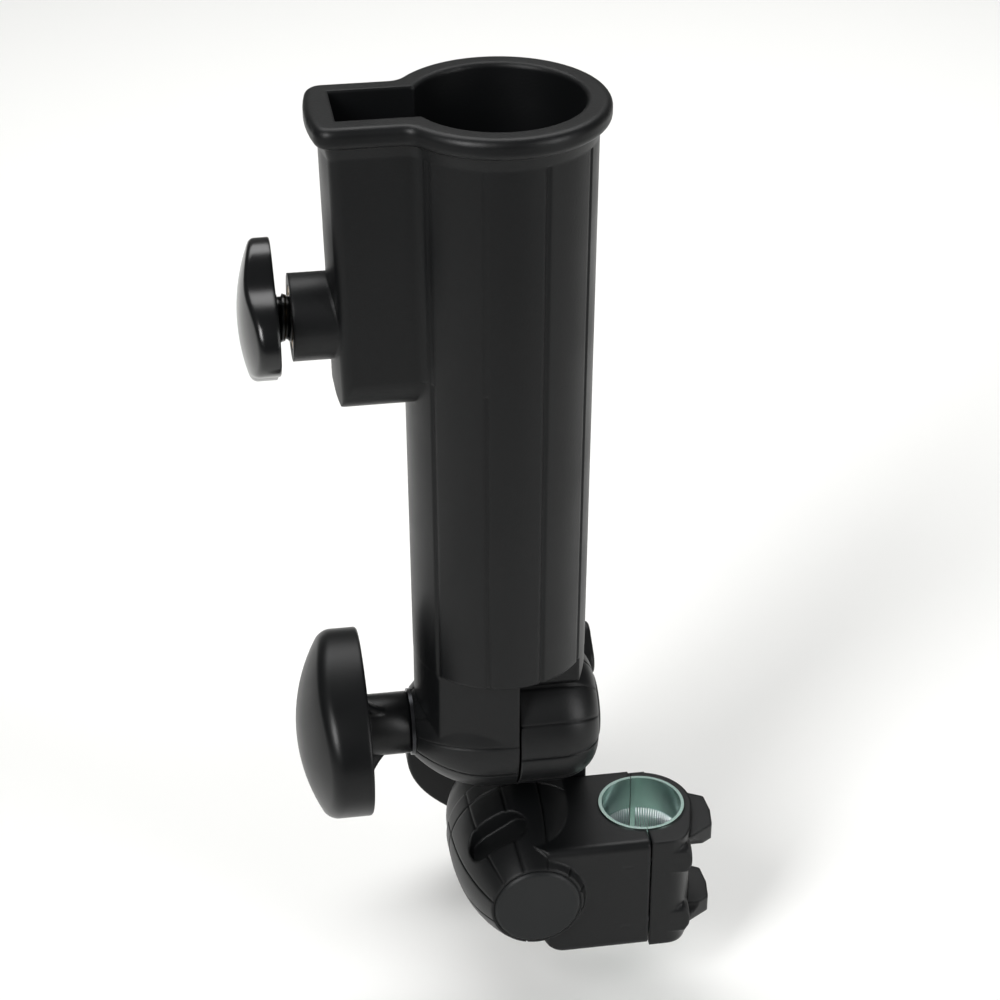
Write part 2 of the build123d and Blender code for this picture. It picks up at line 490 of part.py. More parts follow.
def make_channel():
    """Side channel with a rounded foot and the screw boss on its end wall."""
    low = Pos(TUBE_X, TILT_Y, CHANNEL_BOTTOM_Z) * keyhole(
        TUBE_R_BOTTOM + TUBE_LEAN * (CHANNEL_BOTTOM_Z - TUBE_FLOOR_Z) - 0.1, CHANNEL_W / 2, CHANNEL_X_BOTTOM,
        CHANNEL_CORNER_R)
    high = Pos(TUBE_X, TILT_Y, TUBE_TOP_Z) * keyhole(
        TUBE_R_TOP - 0.1, CHANNEL_W / 2, CHANNEL_X_TOP, CHANNEL_CORNER_R)
    body = loft([low, high])
    foot = block(CHANNEL_X_TOP - 5, TUBE_X + 35, TILT_Y - CHANNEL_W, TILT_Y + CHANNEL_W, CHANNEL_BOTTOM_Z, TUBE_TOP_Z)
    trough = block(CHANNEL_X_TOP - 5, TUBE_X, TILT_Y - CHANNEL_W / 2, TILT_Y + CHANNEL_W / 2, CHANNEL_BOTTOM_Z,
                   TUBE_TOP_Z)
    trough = fillet(trough.edges().filter_by(Axis.X).group_by(Axis.Z)[0], CHANNEL_FOOT_R)
    toe = block(CHANNEL_X_BOTTOM, TUBE_X, TILT_Y - CHANNEL_W, TILT_Y + CHANNEL_W, CHANNEL_BOTTOM_Z,
                CHANNEL_BOTTOM_Z + 2 * CHANNEL_TOE_R)
    toe = fillet(toe.edges().filter_by(Axis.Y).group_by(Axis.Z)[0].group_by(Axis.X)[0], CHANNEL_TOE_R)
    shin = block(CHANNEL_X_TOP - 5, TUBE_X, TILT_Y - CHANNEL_W, TILT_Y + CHANNEL_W,
                 CHANNEL_BOTTOM_Z + CHANNEL_TOE_R, TUBE_TOP_Z)
    wide = block(TUBE_X - 27, TUBE_X, TILT_Y - CHANNEL_W, TILT_Y + CHANNEL_W, CHANNEL_BOTTOM_Z + CHANNEL_FOOT_R,
                 TUBE_TOP_Z)
    body = body & foot & (toe + shin) & (trough + wide)
    body += rod_x(BOSS_END_X, SLOT_END_X - OVER, BOSS_R, TILT_Y, BOSS_Z)
    wall = CHANNEL_X_BOTTOM - CHANNEL_CORNER_R
    root = [
        Line((0, 0), (0, BOSS_R)),
        ThreePointArc((0, BOSS_R), (BOSS_ROOT_R * 0.71, BOSS_R + BOSS_ROOT_R * 0.29),
                      (BOSS_ROOT_R, BOSS_R + BOSS_ROOT_R)),
        Line((BOSS_ROOT_R, BOSS_R + BOSS_ROOT_R), (BOSS_ROOT_R, 0)),
        Line((BOSS_ROOT_R, 0), (0, 0)),
    ]
    collar = turned(plane_x(wall - 2.0, TILT_Y, BOSS_Z), root)
    across = block(wall - 2 * BOSS_ROOT_R, 0, TILT_Y - CHANNEL_W / 2 + CHANNEL_CORNER_R,
                   TILT_Y + CHANNEL_W / 2 - CHANNEL_CORNER_R, CHANNEL_BOTTOM_Z, TUBE_TOP_Z)
    return body + (collar & across)


def make_rim():
    """Bead round the mouth with a slope under it."""
    base = TUBE_TOP_Z - RIM_H
    outer = keyhole(TUBE_R_TOP + RIM_OUT, CHANNEL_W / 2 + RIM_OUT, CHANNEL_X_TOP - RIM_OUT, CHANNEL_CORNER_R + 2)
    bead = Pos(TUBE_X, TILT_Y, base) * extrude(outer, RIM_H)
    bead = fillet(bead.edges().group_by(Axis.Z)[0] + bead.edges().group_by(Axis.Z)[-1], RIM_EDGE_R)
    faces = []
    for z, grow in ((base - FLARE_H, -0.1), (base + RIM_H / 2, FLARE_OUT)):
        faces.append(Pos(TUBE_X, TILT_Y, z) * keyhole(
            TUBE_R_TOP + grow, CHANNEL_W / 2 + grow, CHANNEL_X_TOP - grow, CHANNEL_CORNER_R + grow / 2))
    return bead + loft(faces)


def make_holder_tube():
    shell = Pos(TUBE_X, TILT_Y, TUBE_FLOOR_Z) * Cone(TUBE_R_BOTTOM, TUBE_R_TOP, TUBE_H, align=FROM_BASE)
    holder = shell + make_joint_half()
    holder -= rod_x(LEFT_SEAM_X, 0, JOINT_R + SADDLE_GAP)
    # fine lines down the tube
    for i in range(LINE_COUNT):
        angle = radians(LINE_START + 36 * i)
        if abs(cos(angle) + 1) < 0.02:
            continue
        place = Pos(TUBE_X + (TUBE_R_BOTTOM + LINE_D) * cos(angle), TILT_Y + (TUBE_R_BOTTOM + LINE_D) * sin(angle),
                    TUBE_FLOOR_Z - OVER)
        tip = TUBE_LEAN * 180 / pi
        line = Cylinder(LINE_W, TUBE_H - RIM_H, align=FROM_BASE)
        holder -= place * Rot(-tip * sin(angle), tip * cos(angle), 0) * line
    holder += make_channel()
    holder += make_rim()
    # bore, slot and drain
    holder -= rod_z(TUBE_FLOOR_Z + FLOOR_T, TUBE_TOP_Z + OVER, BORE_R, TUBE_X, TILT_Y)
    bevel = Cone(BORE_R, BORE_R + 2 * MOUTH_BEVEL, 2 * MOUTH_BEVEL, align=FROM_BASE)
    holder -= Pos(TUBE_X, TILT_Y, TUBE_TOP_Z - MOUTH_BEVEL) * bevel
    holder -= block(SLOT_END_X, TUBE_X, TILT_Y - SLOT_W / 2, TILT_Y + SLOT_W / 2, SLOT_FLOOR_Z, TUBE_TOP_Z + OVER)
    holder -= rod_z(TUBE_FLOOR_Z - OVER, TUBE_FLOOR_Z + FLOOR_T + OVER, DRAIN_R, TUBE_X + DRAIN_X, TILT_Y + DRAIN_Y)
    # threaded bush seat, bolt hole, spring pocket, toothed ring
    holder -= rod_x(BOSS_END_X - OVER, BOSS_END_X + INSERT_LEN, INSERT_R, TILT_Y, BOSS_Z)
    holder -= rod_x(BOSS_END_X - OVER, SLOT_END_X + OVER, SCREW_R + SCREW_CLEAR, TILT_Y, BOSS_Z)
    holder -= rod_x(LEFT_END_X - OVER, LEFT_SEAM_X + OVER, BOLT_R + CLEAR)
    seam = LEFT_SEAM_X + OVER
    holder -= rod_x(LEFT_SEAM_X - SPRING_SEAT_D, seam, SPRING_POCKET_R)
    holder -= rod_x(LEFT_SEAM_X - TOOTH_H, seam, RECESS_R_OUT) - rod_x(LEFT_END_X, seam, RECESS_R_IN)
    holder += tooth_ring(facing_x(LEFT_SEAM_X - TOOTH_H, 1))
    return holder


def make_boss_insert():
    bush = rod_x(BOSS_END_X + INSERT_SUNK, BOSS_END_X + INSERT_LEN, INSERT_R, TILT_Y, BOSS_Z)
    return bush - rod_x(BOSS_END_X - OVER, SLOT_END_X, SCREW_R + RUN, TILT_Y, BOSS_Z)


def make_rod_screw():
    stud = rod_x(ROD_KNOB_X - ROD_KNOB_BORE, PAD_REST_X - STUD_GAP, SCREW_R, TILT_Y, BOSS_Z)
    return stud + rod_x(PAD_REST_X - OVER, PAD_REST_X + STUD_TIP_LEN, STUD_TIP_R, TILT_Y, BOSS_Z)


def make_rod_knob():
    knob = lobed_knob(facing_x(ROD_KNOB_X, -1, TILT_Y, BOSS_Z), ROD_KNOB_R, ROD_KNOB_SCALLOP, ROD_KNOB_EDGE,
                      ROD_KNOB_CROWN, radians(LOBE_UP))
    return knob - rod_x(ROD_KNOB_X - ROD_KNOB_BORE - 0.02, ROD_KNOB_X + OVER, SCREW_R + 0.02, TILT_Y, BOSS_Z)


def make_rod_pad():
    pad = rod_x(PAD_REST_X, PAD_REST_X + PAD_T, PAD_R, TILT_Y, BOSS_Z)
    return pad - rod_x(PAD_REST_X - OVER, PAD_REST_X + STUD_TIP_LEN + 0.1, STUD_TIP_R + RUN, TILT_Y, BOSS_Z)


def make_pad_facing():
    face_x = PAD_REST_X + PAD_T
    return rod_x(face_x, face_x + FACING_T, PAD_R - FACING_STEP, TILT_Y, BOSS_Z)


# ---- assembly ------------------------------------------------------------------------
TILT_PLANE = facing_x(LEFT_END_X, -1)
TILT_KNOB_PLANE = facing_x(LEFT_END_X - WASHER_T, -1)
SWING_PLANE = facing_y(REAR_END_Y, 1)
SWING_KNOB_PLANE = facing_y(REAR_END_Y + WASHER_T, 1)
SPRING_GAP = 1.0             # spring stands this far above the floor of its pocket

nodes = {
    "clamp_body": make_clamp_body(),
    "clamp_cap": make_clamp_cap(),
    "sleeve_body_half": make_sleeve(-1),
    "sleeve_cap_half": make_sleeve(1),
    "swing_bolt": make_swing_bolt(),
    "swing_bolt_cap": make_nose_cap(plane_y(SWING_CAP_Y, -1), NOSE_CAP_R, NOSE_CAP_PROUD),
    "swing_spring": make_spring(facing_y(BACK_Y - SPRING_POCKET_D + SPRING_GAP, 1)),
    "swing_washer": make_washer(SWING_PLANE),
    "swing_knob": make_hand_knob(SWING_KNOB_PLANE, 185.0),
    "swing_knob_insert": make_knob_insert(SWING_KNOB_PLANE),
    "elbow": make_elbow(),
    "tilt_bolt": make_tilt_bolt(),
    "tilt_bolt_cap": make_nose_cap(plane_x(TILT_END_X), TILT_CAP_R, TILT_CAP_PROUD),
    "tilt_spring": make_spring(facing_x(RIGHT_SEAM_X + SPRING_POCKET_D - SPRING_GAP, -1)),
    "tilt_washer": make_washer(TILT_PLANE),
    "tilt_knob": make_hand_knob(TILT_KNOB_PLANE, LOBE_UP),
    "tilt_knob_insert": make_knob_insert(TILT_KNOB_PLANE),
    "holder_tube": make_holder_tube(),
    "boss_insert": make_boss_insert(),
    "rod_screw": make_rod_screw(),
    "rod_knob": make_rod_knob(),
    "rod_pad": make_rod_pad(),
    "pad_facing": make_pad_facing(),
}
for number, (place_y, place_z) in enumerate(clamp_screw_places(), 1):
    nodes[f"clamp_screw_{number}"] = make_clamp_screw(place_y, place_z)
    nodes[f"clamp_nut_{number}"] = make_clamp_nut(place_y, place_z)

os.makedirs("parts", exist_ok=True)
for name, shape in nodes.items():
    shape.label = name
    export_step(shape, f"parts/{name}.step")
    print(name, round(shape.volume, 1))
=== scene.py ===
# %% [markdown]
# # Rod holder on a two-joint rail bracket
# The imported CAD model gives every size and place. This script gives it the looks of the real
# thing: moulded glass-filled nylon, polished and matt hand knobs, and a zinc-plated sleeve.

# %% Load the frame
import bpy
import bmesh
import json
from math import cos, pi, radians, sin, sqrt
from mathutils import Matrix, Vector


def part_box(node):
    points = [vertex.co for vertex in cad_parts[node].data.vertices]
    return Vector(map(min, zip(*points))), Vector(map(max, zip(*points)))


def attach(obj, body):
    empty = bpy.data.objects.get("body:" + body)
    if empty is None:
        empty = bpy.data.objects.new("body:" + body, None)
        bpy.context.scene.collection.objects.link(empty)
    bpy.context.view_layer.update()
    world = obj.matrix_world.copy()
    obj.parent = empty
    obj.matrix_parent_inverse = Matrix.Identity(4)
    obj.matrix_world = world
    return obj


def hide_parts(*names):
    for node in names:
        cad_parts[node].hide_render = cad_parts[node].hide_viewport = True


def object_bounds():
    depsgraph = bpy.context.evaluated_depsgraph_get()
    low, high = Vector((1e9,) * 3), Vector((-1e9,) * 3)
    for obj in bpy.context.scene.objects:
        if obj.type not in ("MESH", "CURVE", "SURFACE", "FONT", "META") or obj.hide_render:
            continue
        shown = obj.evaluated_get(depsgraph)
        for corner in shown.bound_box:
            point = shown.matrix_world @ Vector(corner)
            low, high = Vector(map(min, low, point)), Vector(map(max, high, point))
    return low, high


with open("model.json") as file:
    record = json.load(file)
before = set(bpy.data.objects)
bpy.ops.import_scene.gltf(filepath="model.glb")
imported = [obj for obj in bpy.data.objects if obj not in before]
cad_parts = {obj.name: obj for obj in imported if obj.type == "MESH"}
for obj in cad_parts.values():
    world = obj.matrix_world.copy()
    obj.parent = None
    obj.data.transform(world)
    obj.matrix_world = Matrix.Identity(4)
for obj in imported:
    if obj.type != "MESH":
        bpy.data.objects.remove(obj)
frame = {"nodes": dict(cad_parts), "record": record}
CAD_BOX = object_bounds()
MM = 0.001
nodes = frame["nodes"]
print("CAD nodes:", len(nodes))

# %% [markdown]
# ## Two helpers
# Colours are written as the sRGB hex values that a paint chart gives, and a shader wants linear
# light, so one function converts them. A second one adds a node and links it in the same call,
# which keeps each material and each Geometry Nodes tree readable from top to bottom.

# %% Small helpers
def srgb(hex_code):
    """Turns an sRGB hex value into the linear colour that a shader needs."""
    out = []
    for i in (0, 2, 4):
        v = int(hex_code.lstrip("#")[i:i + 2], 16) / 255
        out.append(v / 12.92 if v <= 0.04045 else ((v + 0.055) / 1.055) ** 2.4)
    return (*out, 1.0)


def node(tree, kind, inputs=None, **settings):
    """Adds one node, sets its properties, and links or sets its inputs by name or number."""
    n = tree.nodes.new(kind)
    for key, value in settings.items():
        setattr(n, key, value)
    for key, value in (inputs or {}).items():
        if isinstance(value, bpy.types.NodeSocket):
            tree.links.new(value, n.inputs[key])
        else:
            n.inputs[key].default_value = value
    return n


# %% [markdown]
# ## Moulded nylon
# The brackets are glass-filled nylon from a spark-eroded mould: near black and satin, with a
# fine pebble. A moulding has no sharp corner, so a Bevel node rounds the shading of each edge.
# A slow noise makes the gloss slightly uneven, as handling and the mould's wear do.

# %% Plastic finishes
EDGE_SOFTNESS = 1.3 * MM


def moulded_plastic(name, colour, rough, grain_mm, grain_height_mm, specular=0.35):
    """Dark plastic with softened edges, a fine bump and slightly uneven gloss."""
    mat = bpy.data.materials.new(name)
    mat.use_nodes = True
    t = mat.node_tree
    shader = t.nodes["Principled BSDF"]
    shader.inputs["Base Color"].default_value = srgb(colour)
    shader.inputs["IOR"].default_value = 1.53
    shader.inputs["Specular IOR Level"].default_value = specular
    where = node(t, "ShaderNodeTexCoord").outputs["Object"]
    patchy = node(t, "ShaderNodeTexNoise", {"Vector": where, "Scale": 1 / (26 * MM), "Detail": 4.0})
    rough_range = node(t, "ShaderNodeMapRange", {"Value": patchy.outputs["Fac"], "From Min": 0.3,
                       "From Max": 0.7, "To Min": rough - 0.05, "To Max": rough + 0.05})
    t.links.new(rough_range.outputs["Result"], shader.inputs["Roughness"])
    soft_edge = node(t, "ShaderNodeBevel", {"Radius": EDGE_SOFTNESS}, samples=6).outputs["Normal"]
    t.links.new(soft_edge, shader.inputs["Normal"])
    if grain_mm:
        pebble = node(t, "ShaderNodeTexNoise", {"Vector": where, "Scale": 1 / (grain_mm * MM),
                      "Detail": 2.0})
        bump = node(t, "ShaderNodeBump", {"Height": pebble.outputs["Fac"], "Strength": 0.55,
                    "Distance": grain_height_mm * MM, "Normal": soft_edge})
        t.links.new(bump.outputs["Normal"], shader.inputs["Normal"])
    return mat


# hides fine scratches and keeps the highlights broad
NYLON = moulded_plastic("glass-filled nylon, spark-eroded mould", "#0c0d0e", 0.4, 0.5, 0.07, 0.26)
# handled often, so a little smoother than the brackets
KNOB_MATT = moulded_plastic("nylon hand knob, satin", "#0a0b0c", 0.36, 0.6, 0.03, 0.24)
# polished mould: one crisp highlight on each lobe
KNOB_GLOSS = moulded_plastic("polished nylon knob", "#0a0b0c", 0.2, 0, 0.0, 0.5)
# snap-in caps read slightly greyer than the shells round them
NOSE_CAP = moulded_plastic("smooth nylon cap", "#101213", 0.46, 0.8, 0.02, 0.3)
# dull and soft on the pad that meets the rod
RUBBER = moulded_plastic("nitrile rubber", "#0b0b0b", 0.7, 0.6, 0.03, 0.3)


# %% [markdown]
# ## Plated and machined metal
# The sleeve is zinc plate with a pale green passivation, which is cloudy where the bath dried.
# Noise mixes two close tints for that. Bolts, springs and inserts are single-tone metals.

# %% Metal finishes
def plated_metal(name, colour, rough, second=None):
    """Plated or machined metal; a second colour gives the uneven tint of a passivated plate."""
    mat = bpy.data.materials.new(name)
    mat.use_nodes = True
    t = mat.node_tree
    shader = t.nodes["Principled BSDF"]
    shader.inputs["Base Color"].default_value = srgb(colour)
    shader.inputs["Metallic"].default_value = 1.0
    shader.inputs["Roughness"].default_value = rough
    if second:
        where = node(t, "ShaderNodeTexCoord").outputs["Object"]
        cloud = node(t, "ShaderNodeTexNoise", {"Vector": where, "Scale": 1 / (14 * MM), "Detail": 3.0})
        ramp = node(t, "ShaderNodeMix", {"Factor": cloud.outputs["Fac"], 6: srgb(colour), 7: srgb(second)},
                    data_type="RGBA")
        t.links.new(ramp.outputs[2], shader.inputs["Base Color"])
    return mat


# two cool greens, because the passivation is cloudy
GREEN_ZINC = plated_metal("zinc plate, green passivated", "#a3c4ba", 0.26, "#d3e6e0")
BRIGHT_ZINC = plated_metal("zinc plate, bright", "#b9bcbf", 0.28)
BLACK_ZINC = plated_metal("zinc plate, black", "#3a3b3d", 0.34)
SPRING = plated_metal("oiled spring steel", "#6c6d6f", 0.35)
BRASS = plated_metal("machined brass", "#b08d4f", 0.3)

# %% [markdown]
# ## The carried-over CAD parts
# Most shells have the right shape already. Each takes the finish of its slot in the record.

# %% Give every CAD node its finish
FINISH_OF_SLOT = {
    "moulded_nylon": NYLON, "knob_nylon": KNOB_MATT, "gloss_knob": KNOB_GLOSS, "cap_nylon": NOSE_CAP,
    "zinc_sleeve": GREEN_ZINC, "zinc_steel": BRIGHT_ZINC, "spring_steel": SPRING, "brass": BRASS,
    "rubber": RUBBER, "black_steel": BLACK_ZINC,
}
for entry in frame["record"]["subparts"]:
    mesh = nodes[entry["node"]].data
    mesh.materials.clear()
    mesh.materials.append(FINISH_OF_SLOT[entry["material_slot"]])

# %% [markdown]
# ## Where the moving pieces sit
# Every turned or threaded piece is made about its own axis first, then carried to its place in
# the frame by one matrix, so the object itself stays at the origin. The places come from the
# boxes of the CAD nodes, never from measured numbers.

# %% Places from the CAD boxes
def middle(name):
    """Centre of a CAD node's box."""
    low_corner, high_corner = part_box(name)
    return Vector([(a + b) / 2 for a, b in zip(low_corner, high_corner)])


def carried(origin, outward, up):
    """Matrix that stands a piece made along +Z on origin, with its +Z outward and its +X up."""
    z = Vector(outward).normalized()
    x = (Vector(up) - z * Vector(up).dot(z)).normalized()
    turn = Matrix((x, z.cross(x), z)).transposed().to_4x4()
    return Matrix.Translation(origin) @ turn


ROD_AXIS = middle("rod_screw")
TILT_AXIS = middle("tilt_washer")
SWING_AXIS = middle("swing_washer")
print("knob axes:", [tuple(round(v, 4) for v in a) for a in (ROD_AXIS, TILT_AXIS, SWING_AXIS)])


# %% Making an object from a mesh
def settled(name, mesh, body, slot, material, *stands_for):
    """Links a finished mesh as a piece: smooth, at the origin, riding on its body."""
    mesh.name = name
    for face in mesh.polygons:
        face.use_smooth = True
    if not mesh.materials:
        mesh.materials.append(material)
    piece = bpy.data.objects.new(name, mesh)
    bpy.context.scene.collection.objects.link(piece)
    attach(piece, body)
    if stands_for:
        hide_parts(*stands_for)
    print(name, len(mesh.polygons), "faces")


def evaluated(obj):
    """Plain mesh of an object with its modifiers applied; the object itself is removed."""
    graph = bpy.context.evaluated_depsgraph_get()
    mesh = bpy.data.meshes.new_from_object(obj.evaluated_get(graph), depsgraph=graph)
    old = obj.data
    bpy.data.objects.remove(obj)
    bpy.data.meshes.remove(old)
    return mesh


# %% [markdown]
# ## Hand knobs
# The three knobs are compression-moulded grips. Each has three soft lobes, a domed face and a
# wide rounded shoulder, and the large ones stand on a hub with three stiffening webs. Rings of
# one lobed outline, shrunk towards the crown and lifted onto a sphere, give the dome. A Bevel
# on marked edges then rounds the shoulder, which no plain boolean could do as softly.

# %% Knob head
KNOB_STEPS, DOME_RINGS = 120, 12
BACK_ROUND_SHARE = 0.35      # the back edge is rounded less than the shoulder


def lobe(r, scallop, angle):
    """Radius of the lobed outline at an angle; a lobe points along angle 0."""
    return r - scallop * (1 - cos(3 * angle)) / 2


def knob_head(bm, r, scallop, edge, crown, base):
    """Adds one closed knob head that stands at height base along +Z."""
    rise = crown - edge
    ball = (r * r + rise * rise) / (2 * rise)
    angles = [2 * pi * i / KNOB_STEPS for i in range(KNOB_STEPS)]

    def lifted(share):
        ring = []
        for a in angles:
            d = lobe(r, scallop, a) * share
            height = base + crown - ball + sqrt(ball * ball - d * d)
            ring.append(bm.verts.new((d * cos(a), d * sin(a), height)))
        return ring

    back = [bm.verts.new((lobe(r, scallop, a) * cos(a), lobe(r, scallop, a) * sin(a), base))
            for a in angles]
    rings = [back] + [lifted(1 - i / DOME_RINGS) for i in range(DOME_RINGS)]
    weight = bm.edges.layers.float.new("bevel_weight_edge")
    for low_ring, high_ring in zip(rings, rings[1:]):
        for i in range(KNOB_STEPS):
            j = (i + 1) % KNOB_STEPS
            bm.faces.new((low_ring[i], low_ring[j], high_ring[j], high_ring[i]))
    top = bm.verts.new((0, 0, base + crown))
    for i in range(KNOB_STEPS):
        bm.faces.new((rings[-1][i], rings[-1][(i + 1) % KNOB_STEPS], top))
    bm.faces.new(list(reversed(back)))
    for ring, share in ((back, BACK_ROUND_SHARE), (rings[1], 1.0)):
        for i in range(KNOB_STEPS):
            bm.edges.get((ring[i], ring[(i + 1) % KNOB_STEPS]))[weight] = share


# %% Hub with its webs
HUB_STEPS, FLARE_STEPS, WEB_STEPS = 72, 6, 6
HUB_BEVEL, HUB_SUNK = 0.5 * MM, 1.0 * MM      # mouth bevel, and how far the hub enters the head
WEB_BOW = 0.25                                # how hollow a web's outer edge is


def knob_hub(bm, radius, length, bore, flare):
    """Adds the hub under a large knob: a bored sleeve that flares into the head."""
    outline = [(bore, 0.0), (radius - HUB_BEVEL, 0.0), (radius, HUB_BEVEL), (radius, length - flare)]
    for i in range(1, FLARE_STEPS + 1):
        a = i / FLARE_STEPS * pi / 2
        outline.append((radius + flare * (1 - cos(a)), length - flare + flare * sin(a)))
    outline += [(radius + flare, length + HUB_SUNK), (bore, length + HUB_SUNK)]
    angles = [2 * pi * i / HUB_STEPS for i in range(HUB_STEPS)]
    rings = [[bm.verts.new((r * cos(a), r * sin(a), h)) for a in angles] for r, h in outline]
    for a, b in zip(rings, rings[1:] + rings[:1]):
        for i in range(HUB_STEPS):
            j = (i + 1) % HUB_STEPS
            bm.faces.new((a[i], a[j], b[j], b[i]))


def knob_web(bm, inner, outer, low_z, high_z, thick, angle):
    """Adds one three-cornered stiffening web with a hollow outer edge."""
    outline = [(inner, low_z), (inner, high_z), (outer, high_z)]
    for i in range(1, WEB_STEPS):
        s = i / WEB_STEPS
        bow = WEB_BOW * s * (1 - s) * (outer - inner)
        outline.append((outer + (inner - outer) * s - bow, high_z + (low_z - high_z) * s + bow))
    turn = Matrix.Rotation(angle, 4, "Z")
    sides = [[bm.verts.new(turn @ Vector((r, side * thick / 2, h))) for r, h in outline]
             for side in (-1, 1)]
    bm.faces.new(sides[0])
    bm.faces.new(list(reversed(sides[1])))
    for i in range(len(outline)):
        j = (i + 1) % len(outline)
        bm.faces.new((sides[0][j], sides[0][i], sides[1][i], sides[1][j]))


# %% Finish a knob
SHOULDER_STEPS = 7


def finished_knob(name, bm, place, round_edge, body, slot, material, stands_for):
    """Rounds the marked edges, carries the knob to its place and settles it."""
    bmesh.ops.recalc_face_normals(bm, faces=bm.faces)
    mesh = bpy.data.meshes.new(name)
    bm.to_mesh(mesh)
    bm.free()
    work = bpy.data.objects.new(name + "_work", mesh)
    bpy.context.scene.collection.objects.link(work)
    bevel = work.modifiers.new("rounded shoulder", "BEVEL")
    bevel.limit_method = "WEIGHT"
    bevel.width = round_edge
    bevel.segments = SHOULDER_STEPS
    bevel.use_clamp_overlap = True
    mesh = evaluated(work)
    mesh.transform(place)
    settled(name, mesh, body, slot, material, stands_for)


# %% The two large knobs
HUB_LEN, HUB_R, HUB_BORE, HUB_FLARE = 14.0 * MM, 9.7 * MM, 5.2 * MM, 1.6 * MM
WEB_ROOT, WEB_REACH, WEB_RISE, WEB_T = 1.0 * MM, 10.0 * MM, 6.5 * MM, 2.2 * MM
WEB_SUNK, FIRST_WEB = 0.5 * MM, radians(60)
BIG_R, BIG_SCALLOP, BIG_EDGE = 31.0 * MM, 3.4 * MM, 11.0 * MM
BIG_CROWN, BIG_ROUND = 21.0 * MM, 4.2 * MM
WASHER_HALF = 0.55 * MM              # a large knob stands on the outer face of its washer
FRONT_TURN, REAR_TURN = radians(59), radians(185)
LOBE_UP = (0.0, cos(FRONT_TURN), sin(FRONT_TURN))
REAR_LOBE_UP = (cos(REAR_TURN), 0.0, -sin(REAR_TURN))
for label, axis_point, outward, up in (("tilt", TILT_AXIS, (-1, 0, 0), LOBE_UP),
                                       ("swing", SWING_AXIS, (0, 1, 0), REAR_LOBE_UP)):
    bm = bmesh.new()
    knob_head(bm, BIG_R, BIG_SCALLOP, BIG_EDGE, BIG_CROWN, HUB_LEN)
    knob_hub(bm, HUB_R, HUB_LEN, HUB_BORE, HUB_FLARE)
    for i in range(3):
        knob_web(bm, HUB_R - WEB_ROOT, HUB_R + WEB_REACH, HUB_LEN - WEB_RISE, HUB_LEN + WEB_SUNK,
                 WEB_T, FIRST_WEB + i * 2 * pi / 3)
    seat = axis_point + Vector(outward) * WASHER_HALF
    finished_knob(f"{label}_knob_grip", bm, carried(seat, outward, up), BIG_ROUND,
                  f"{label}_knob", "knob_nylon", KNOB_MATT, f"{label}_knob")

# %% The small polished knob
SMALL_R, SMALL_SCALLOP, SMALL_EDGE = 23.0 * MM, 7.0 * MM, 5.5 * MM
SMALL_CROWN, SMALL_ROUND = 10.6 * MM, 1.6 * MM
small_back = Vector((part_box("rod_knob")[1][0], ROD_AXIS.y, ROD_AXIS.z))
bm = bmesh.new()
knob_head(bm, SMALL_R, SMALL_SCALLOP, SMALL_EDGE, SMALL_CROWN, 0.0)
finished_knob("rod_knob_grip", bm, carried(small_back, (-1, 0, 0), LOBE_UP), SMALL_ROUND,
              "rod_knob", "gloss_knob", KNOB_GLOSS, "rod_knob")

# %% [markdown]
# ## Threaded stud
# The stud between the small knob and its boss is a moulded screw with a coarse rounded thread.
# A thread is one ridge that follows a spiral, so Geometry Nodes draw the spiral, sweep a small
# diamond along it, and join that to the core. Changing the pitch or the length is one number.

# %% Thread tree
def thread_tree():
    """Geometry Nodes group: a core cylinder with one helical ridge, standing on the origin."""
    tree = bpy.data.node_groups.new("threaded stud", "GeometryNodeTree")
    tree.interface.new_socket("Geometry", in_out="OUTPUT", socket_type="NodeSocketGeometry")
    for label in ("Crest Radius", "Root Radius", "Pitch", "Length"):
        tree.interface.new_socket(label, in_out="INPUT", socket_type="NodeSocketFloat")
    tree.interface.new_socket("Material", in_out="INPUT", socket_type="NodeSocketMaterial")
    given = node(tree, "NodeGroupInput").outputs
    turns = node(tree, "ShaderNodeMath", {0: given["Length"], 1: given["Pitch"]},
                 operation="DIVIDE").outputs[0]
    spiral = node(tree, "GeometryNodeCurveSpiral", {
        "Resolution": 48, "Rotations": turns, "Start Radius": given["Root Radius"],
        "End Radius": given["Root Radius"], "Height": given["Length"]}).outputs[0]
    depth = node(tree, "ShaderNodeMath", {0: given["Crest Radius"], 1: given["Root Radius"]},
                 operation="SUBTRACT").outputs[0]
    ridge = node(tree, "GeometryNodeCurvePrimitiveCircle", {"Resolution": 4, "Radius": depth}).outputs[0]
    swept = node(tree, "GeometryNodeCurveToMesh", {"Curve": spiral, "Profile Curve": ridge,
                 "Fill Caps": True})
    core = node(tree, "GeometryNodeMeshCylinder", {"Vertices": 64, "Radius": given["Root Radius"],
                "Depth": given["Length"]}).outputs["Mesh"]
    half = node(tree, "ShaderNodeMath", {0: given["Length"], 1: 0.5}, operation="MULTIPLY").outputs[0]
    lift = node(tree, "ShaderNodeCombineXYZ", {"Z": half}).outputs[0]
    stood = node(tree, "GeometryNodeTransform", {"Geometry": core, "Translation": lift}).outputs[0]
    both = node(tree, "GeometryNodeJoinGeometry").inputs[0]
    tree.links.new(swept.outputs[0], both)
    tree.links.new(stood, both)
    real = node(tree, "GeometryNodeRealizeInstances", {"Geometry": both.node.outputs[0]}).outputs[0]
    painted = node(tree, "GeometryNodeSetMaterial", {"Geometry": real,
                   "Material": given["Material"]}).outputs[0]
    node(tree, "NodeGroupOutput", {"Geometry": painted})
    return tree


